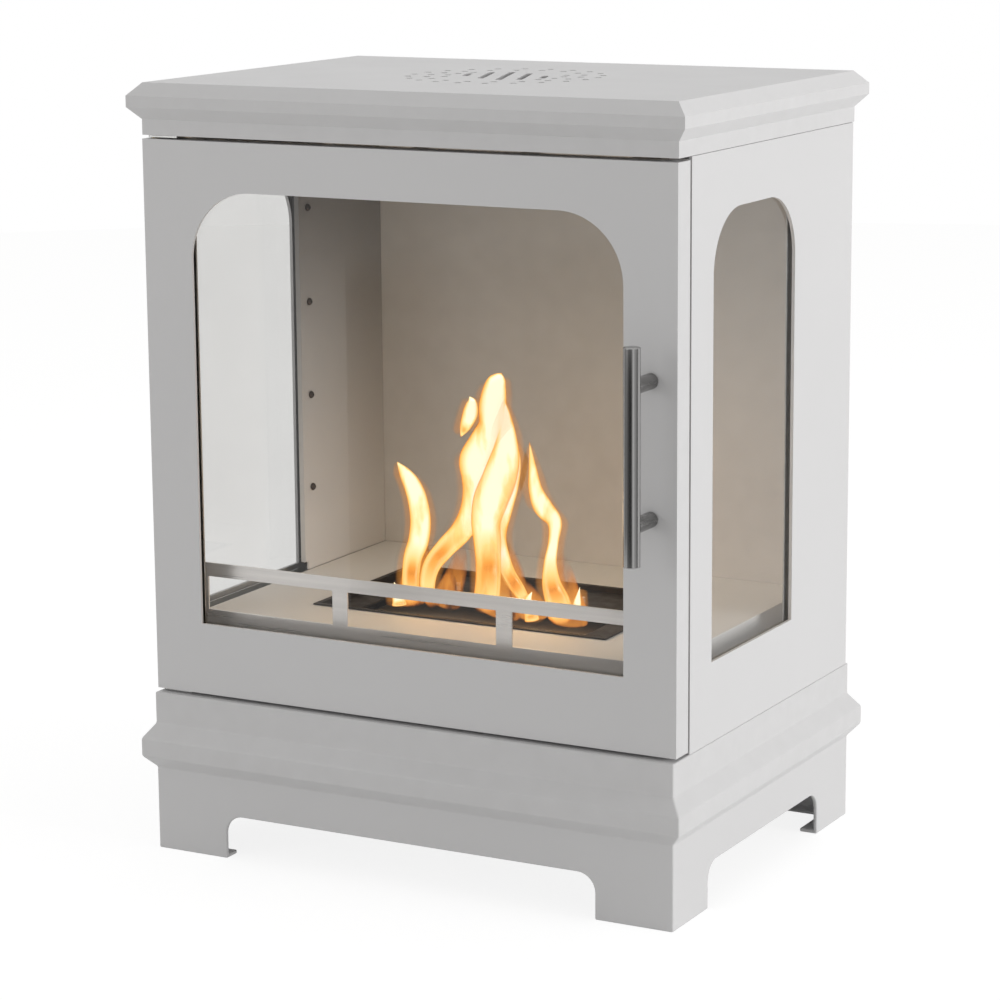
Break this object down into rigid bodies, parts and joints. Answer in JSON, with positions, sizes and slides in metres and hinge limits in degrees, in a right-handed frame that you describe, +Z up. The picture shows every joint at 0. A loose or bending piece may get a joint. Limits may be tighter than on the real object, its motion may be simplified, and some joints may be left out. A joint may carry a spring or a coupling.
{
  "type": "bioethanol fireplace",
  "caption": "Free-standing bioethanol fireplace in pale painted steel: moulded plinth and cap, hinged glass door, arched side windows and a burner with a sliding shutter.",
  "frame": {"origin": "on the floor, under the centre of the object's bounding box", "axes": "+X to the right when facing the door, towards the door handle; +Y from the door to the back; +Z up"},
  "size_m": [0.4478, 0.3546, 0.5778],
  "materials": {
    "case_paint": "smooth satin stove paint",
    "firebox_paint": "satin stove paint, warmed by use",
    "brushed_stainless": "brushed",
    "black_steel": "heat-darkened black",
    "zinc_steel": "bright zinc plate",
    "dark_screw": "blackened",
    "clear_pane": "polished heat-proof pane",
    "ceramic_wool": "matt felted fibre",
    "black_rubber": "matt",
    "bush_brass": "turned"
  },
  "bodies": {
    "fireplace": {"back_panel": "case_paint", "back_panel_screw_1": "zinc_steel", "back_panel_screw_2": "zinc_steel", "back_panel_screw_3": "zinc_steel", "back_panel_screw_4": "zinc_steel", "burner_tank": "black_steel", "burner_top_plate": "black_steel", "burner_wick_pad": "ceramic_wool", "cap_screw_1": "zinc_steel", "cap_screw_2": "zinc_steel", "cap_shell": "case_paint", "case_bottom_panel": "firebox_paint", "case_top_panel": "firebox_paint", "catch_bracket": "zinc_steel", "catch_magnet": "black_rubber", "catch_screw_1": "zinc_steel", "catch_screw_2": "zinc_steel", "firebox_left_cheek": "firebox_paint", "firebox_rear_wall": "firebox_paint", "firebox_right_cheek": "firebox_paint", "firebox_roof": "firebox_paint", "front_guard": "brushed_stainless", "front_guard_screw_1": "zinc_steel", "front_guard_screw_2": "zinc_steel", "hearth_plate": "firebox_paint", "hinge_pin_lower": "zinc_steel", "hinge_pin_upper": "zinc_steel", "hinge_plate_lower": "zinc_steel", "hinge_plate_upper": "zinc_steel", "left_cheek_screw_1": "dark_screw", "left_cheek_screw_2": "dark_screw", "left_cheek_screw_3": "dark_screw", "left_cheek_screw_4": "dark_screw", "left_glass_clamp": "black_steel", "left_glass_holder": "zinc_steel", "left_side_glass": "clear_pane", "left_side_panel": "case_paint", "plinth_shell": "case_paint", "right_glass_holder": "zinc_steel", "right_side_glass": "clear_pane", "right_side_panel": "case_paint", "vent_baffle": "firebox_paint"},
    "door": {"catch_strike": "zinc_steel", "door_frame": "case_paint", "door_gasket": "black_rubber", "door_glass": "clear_pane", "door_glass_holder": "zinc_steel", "door_holder_nut_1": "zinc_steel", "door_holder_nut_2": "zinc_steel", "door_holder_nut_3": "zinc_steel", "door_holder_nut_4": "zinc_steel", "handle_bar": "brushed_stainless", "handle_post_lower": "brushed_stainless", "handle_post_upper": "brushed_stainless", "handle_screw_1": "zinc_steel", "handle_screw_2": "zinc_steel", "hinge_bush_lower": "bush_brass", "hinge_bush_upper": "bush_brass"},
    "shutter": {"burner_shutter": "black_steel"}
  },
  "joints": [
    {"name": "door_hinge", "type": "hinge", "parent": "fireplace", "child": "door", "pos_m": [-0.2095, -0.13115, 0.3308], "axis": [0, 0, -1], "range_deg": [0, 110]},
    {"name": "burner_shutter_slide", "type": "slide", "parent": "fireplace", "child": "shutter", "axis": [0, -1, 0], "range_m": [0, 0.0691]}
  ]
}
